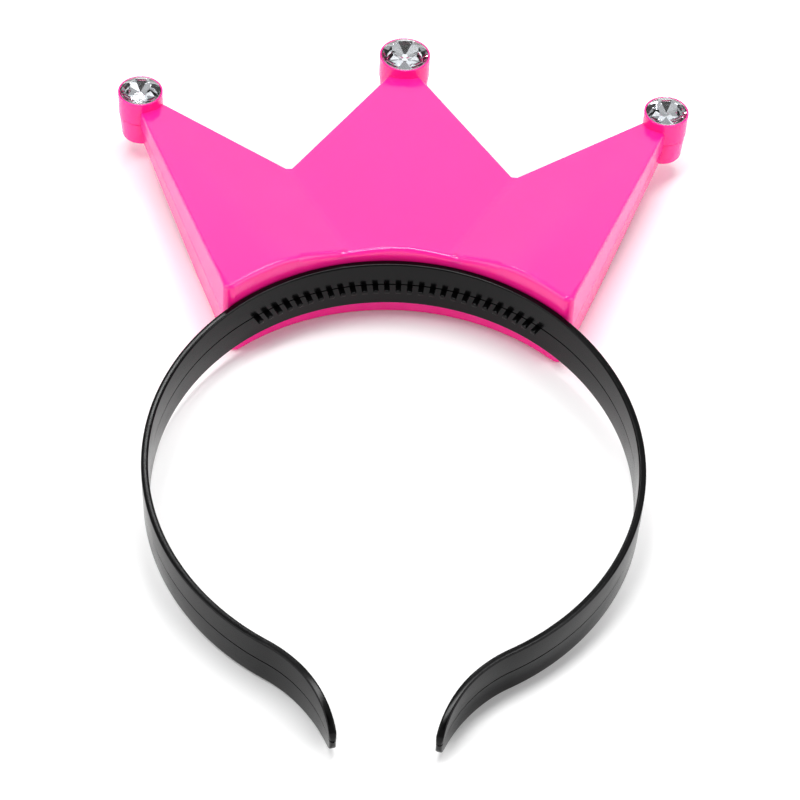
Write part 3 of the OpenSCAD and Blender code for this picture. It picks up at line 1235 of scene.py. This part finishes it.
@dataclass(frozen=True)
class SoftBox:
    """A soft light: a panel aimed at the object, whose radiance times its area gives its power."""

    name: str
    place: tuple[float, float, float]
    size: tuple[float, float]
    radiance: float

    def hang(self) -> None:
        """Hang the panel."""
        data = bpy.data.lights.new(self.name, "AREA")
        data.shape = "RECTANGLE"
        data.size, data.size_y = self.size
        data.energy = self.radiance * math.pi * self.size[0] * self.size[1]
        lamp = bpy.data.objects.new(self.name, data)
        bpy.context.scene.collection.objects.link(lamp)
        lamp.location = self.place
        lamp.rotation_euler = (Vector() - Vector(self.place)).to_track_quat("-Z", "Y").to_euler()


@dataclass
class Studio:
    """A white floor, soft light from above and round about, and the camera of the picture."""

    camera_place: tuple[float, float, float] = (-0.00984, -0.52417, 0.58824)
    camera_elevation_deg: float = 48.433
    camera_azimuth_deg: float = 1.3325
    camera_roll_deg: float = -3.1537
    focal_mm: float = 125.92
    shift_x: float = -0.0034
    clip_start: float = 0.01
    floor_size: float = 6.0
    card_size: float = 0.5
    card_place: tuple[float, float, float] = (-0.01, -0.54, 0.8)
    sky: str = "#ffffff"
    sky_strength: float = 0.45
    look: str = "Medium High Contrast"
    boxes: tuple[SoftBox, ...] = (
        SoftBox("overhead_box", (-0.05, 0.06, 1.3), (1.2, 0.26), 10.5),
        SoftBox("back_box", (0.0, 1.52, 0.84), (2.2, 0.7), 0.65),
        SoftBox("left_box", (-1.15, -0.5, 0.6), (1.0, 1.0), 1.9),
        SoftBox("right_box", (1.15, -0.5, 0.6), (1.0, 1.0), 1.9),
        SoftBox("key_box", (-0.12, 0.7, 1.0), (0.14, 0.14), 15.0),
    )

    def set_camera(self) -> None:
        """Stand the camera where the picture was taken from."""
        data = bpy.data.cameras.new("camera")
        data.lens = self.focal_mm
        data.shift_x = self.shift_x
        data.clip_start = self.clip_start
        camera = bpy.data.objects.new("camera", data)
        bpy.context.scene.collection.objects.link(camera)
        look = (Matrix.Rotation(-math.radians(self.camera_azimuth_deg), 4, "Z")
                @ Matrix.Rotation(math.radians(90 - self.camera_elevation_deg), 4, "X")
                @ Matrix.Rotation(-math.radians(self.camera_roll_deg), 4, "Z"))
        camera.matrix_world = Matrix.Translation(self.camera_place) @ look
        bpy.context.scene.camera = camera

    def set_sheet(self, name: str, size: float, place: Matrix, paint: MattePaint) -> None:
        """Set up a flat painted sheet.

        Args:
            name: its name.
            size: its side.
            place: where it is.
            paint: its paint.
        """
        deselect()
        bpy.ops.mesh.primitive_plane_add(size=size)
        sheet = bpy.context.object
        sheet.name = name
        sheet.data.transform(place)
        sheet.data.materials.append(paint.material())

    def light(self) -> None:
        """Light the room with an even white and the soft boxes."""
        world = bpy.data.worlds.new("white_room")
        bpy.context.scene.world = world
        world.use_nodes = True
        world.node_tree.nodes.clear()
        sky = add_node(world.node_tree, "ShaderNodeBackground",
                       {"Color": srgb(self.sky), "Strength": self.sky_strength})
        add_node(world.node_tree, "ShaderNodeOutputWorld", {"Surface": sky.outputs[0]})
        for box in self.boxes:
            box.hang()
        view = bpy.context.scene.view_settings
        view.view_transform = "Standard"
        view.look = self.look

    def build(self) -> None:
        """Set the whole studio."""
        self.set_camera()
        # Matte white paper: the shadows on it stay soft and pale
        self.set_sheet("studio_floor", self.floor_size, Matrix.Identity(4),
                       MattePaint("white_paper_floor", "#f9f9f9"))
        # Black felt over the camera: some of the stones' facets mirror it, and look dark
        place = Vector(self.card_place)
        self.set_sheet("dark_card", self.card_size, Matrix.Translation(place)
                       @ place.to_track_quat("Z", "Y").to_matrix().to_4x4(),
                       MattePaint("black_felt_card", "#0c0c0c"))
        self.light()


def main() -> None:
    """Build the headband over its frame and light it."""
    logging.basicConfig(level=logging.INFO, format="%(name)s: %(message)s")
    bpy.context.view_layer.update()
    # Polystyrene dyed right through: light enters it a little, so that thin rims and edges glow
    pink = GlossyMouldedPlastic(
        "moulded_pink_polystyrene", colour="#ff299a", drift_colour="#ff2596", speck_colour="#e83c9a",
        roughness=0.19, roughness_drift=0.04, ior=1.59, mirror=0.5, glow=0.25).material()
    # The same plastic in black: deep and even, with a thin bright line along its rounded edges
    black = GlossyMouldedPlastic(
        "moulded_black_polystyrene", colour="#060607", drift_colour="#09090a", speck_colour="#6a6a6e",
        roughness=0.2, roughness_drift=0.05, ior=1.5, mirror=0.25, speck_mm=0.25).material()
    # A colourless stone that is dark or bright facet by facet, because the foil throws light back
    clear = ClearCutAcrylic("clear_cut_acrylic").material()
    silver = SilverFoil("silver_foil_back").material()

    front = FrontShell()
    front.build(pink)
    BackShell().build(pink)
    Headband().build(black)
    GrippingTeeth().build(black)
    side, centre = front.corners()["side"], front.corners()["centre"]
    for where, place, diameter in (("left", Vector((-side.x, side.y, 0)), 12.0), ("centre", centre, 14.0),
                                   ("right", side, 12.0)):
        CutStone(name=f"cut_stone_{where}", node=f"stone_{where}", centre=place,
                 diameter=diameter).build(clear, silver)
    Studio().build()


if __name__ == "__main__":
    main()
